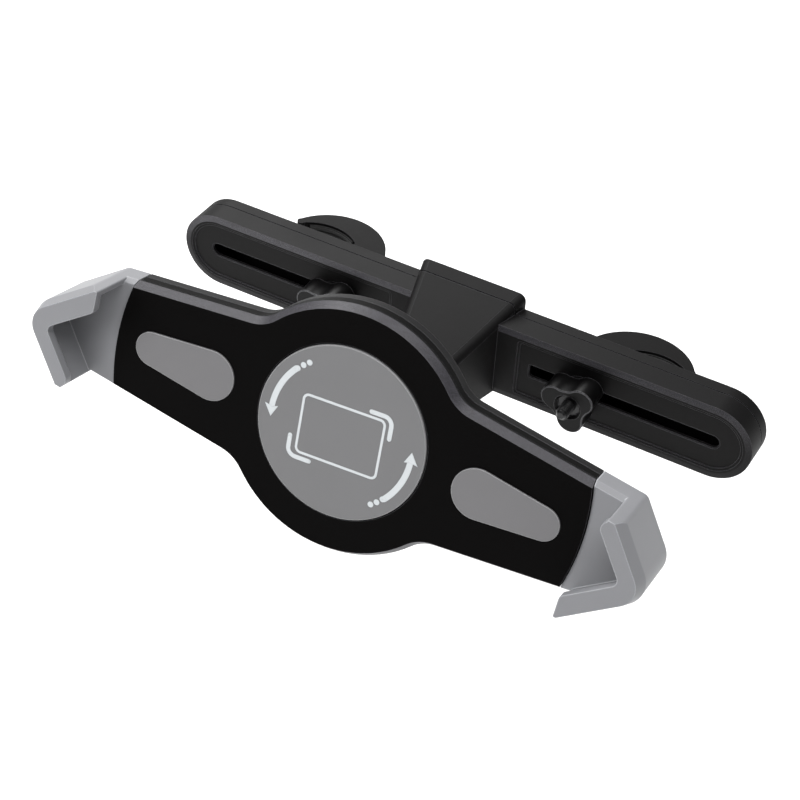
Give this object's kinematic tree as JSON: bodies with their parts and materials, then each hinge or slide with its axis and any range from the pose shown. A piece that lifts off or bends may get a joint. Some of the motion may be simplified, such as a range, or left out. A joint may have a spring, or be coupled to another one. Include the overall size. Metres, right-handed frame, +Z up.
{
  "type": "headrest tablet mount",
  "caption": "Spring-loaded tablet cradle on a ball joint, with a cross rail whose sliding hooks clamp to a car headrest's posts.",
  "frame": {"origin": "middle of the cross rail's back face, halfway between its ends and edges", "axes": "+X along the rail to the right seen from the cradle's side, +Y rearward to the headrest posts, +Z up; the cradle faces -Y"},
  "size_m": [0.24, 0.1497, 0.09],
  "materials": {
    "rail_plastic": "fine matt texture",
    "hook_plastic": "fine matt texture",
    "knob_plastic": "satin",
    "soft_black": "soft matt",
    "silver_plastic": "satin silver",
    "grey_panel": "satin grey",
    "grey_rubber": "soft matt",
    "black_rubber": "ribbed",
    "zinc_steel": "zinc plated",
    "dark_steel": "black oxide",
    "slide_plastic": "natural nylon",
    "spring_steel": "bright"
  },
  "bodies": {
    "rail": {"rail_front": "rail_plastic", "rail_back": "rail_plastic", "rail_screws": "dark_steel", "ball_stud": "dark_steel", "ball_stud_nut": "zinc_steel"},
    "left_carriage": {"left_slot_bush": "knob_plastic"},
    "left_knob": {"left_knob": "knob_plastic", "left_knob_nut": "zinc_steel"},
    "left_hook": {"left_hook": "hook_plastic", "left_hook_pad": "black_rubber", "left_clamp_bolt": "dark_steel"},
    "right_carriage": {"right_slot_bush": "knob_plastic"},
    "right_knob": {"right_knob": "knob_plastic", "right_knob_nut": "zinc_steel"},
    "right_hook": {"right_hook": "hook_plastic", "right_hook_pad": "black_rubber", "right_clamp_bolt": "dark_steel"},
    "liner": {"socket_liner": "slide_plastic"},
    "hub": {"hub_socket": "knob_plastic", "socket_ring": "knob_plastic", "friction_washer": "slide_plastic", "hub_plate": "knob_plastic", "hub_screw": "zinc_steel", "center_disc": "grey_panel"},
    "cradle": {"cradle_front": "soft_black", "cradle_back": "soft_black", "cradle_screws": "dark_steel", "left_grip_pad": "grey_rubber", "right_grip_pad": "grey_rubber", "return_spring": "spring_steel"},
    "pinion": {"pinion": "slide_plastic"},
    "left_jaw": {"left_jaw": "silver_plastic"},
    "right_jaw": {"right_jaw": "silver_plastic"}
  },
  "joints": [
    {"name": "left_clamp_slide", "type": "slide", "parent": "rail", "child": "left_carriage", "axis": [1, 0, 0], "range_m": [-0.0495, 0.0121]},
    {"name": "left_knob_turn", "type": "hinge", "parent": "left_carriage", "child": "left_knob", "pos_m": [-0.051, -0.02, 0], "axis": [0, 1, 0], "range_deg": [-677, 2117]},
    {"name": "left_hook_slide", "type": "slide", "parent": "left_carriage", "child": "left_hook", "axis": [0, 1, 0], "range_m": [-0.0047, 0.0015]},
    {"name": "right_clamp_slide", "type": "slide", "parent": "rail", "child": "right_carriage", "axis": [1, 0, 0], "range_m": [-0.0141, 0.0475]},
    {"name": "right_knob_turn", "type": "hinge", "parent": "right_carriage", "child": "right_knob", "pos_m": [0.053, -0.02, 0], "axis": [0, 1, 0], "range_deg": [-2027, 767]},
    {"name": "right_hook_slide", "type": "slide", "parent": "right_carriage", "child": "right_hook", "axis": [0, 1, 0], "range_m": [-0.0017, 0.0045]},
    {"name": "swivel", "type": "hinge", "parent": "rail", "child": "liner", "pos_m": [0, -0.0745, 0.00994], "axis": [0, 0, 1], "range_deg": [-23.8, 16.2]},
    {"name": "tilt", "type": "hinge", "parent": "liner", "child": "hub", "pos_m": [0, -0.0745, 0.00994], "axis": [0.9978, 0.0663, 0], "range_deg": [-20, 20]},
    {"name": "spin", "type": "hinge", "parent": "hub", "child": "cradle", "pos_m": [0.00155, -0.09786, 0.01714], "axis": [0.0633, -0.9537, 0.294], "continuous": true},
    {"name": "left_jaw_slide", "type": "slide", "parent": "cradle", "child": "left_jaw", "axis": [-0.9962, -0.0425, 0.0767], "range_m": [0, 0.038], "stiffness_N_per_m": 150, "springref_m": -0.02},
    {"name": "right_jaw_slide", "type": "slide", "parent": "cradle", "child": "right_jaw", "axis": [0.9962, 0.0425, -0.0767], "range_m": [-0.0001, 0.0381]},
    {"name": "pinion_turn", "type": "hinge", "parent": "cradle", "child": "pinion", "pos_m": [0.00111, -0.09119, 0.01509], "axis": [0.0633, -0.9537, 0.294], "range_deg": [-1, 273.2]}
  ],
  "couplings": [
    {"joint": "left_knob_turn", "follows": "left_hook_slide", "rad_per_m": -7854},
    {"joint": "right_knob_turn", "follows": "right_hook_slide", "rad_per_m": -7854},
    {"joint": "right_jaw_slide", "follows": "left_jaw_slide", "ratio": 1},
    {"joint": "pinion_turn", "follows": "left_jaw_slide", "rad_per_m": 125}
  ]
}
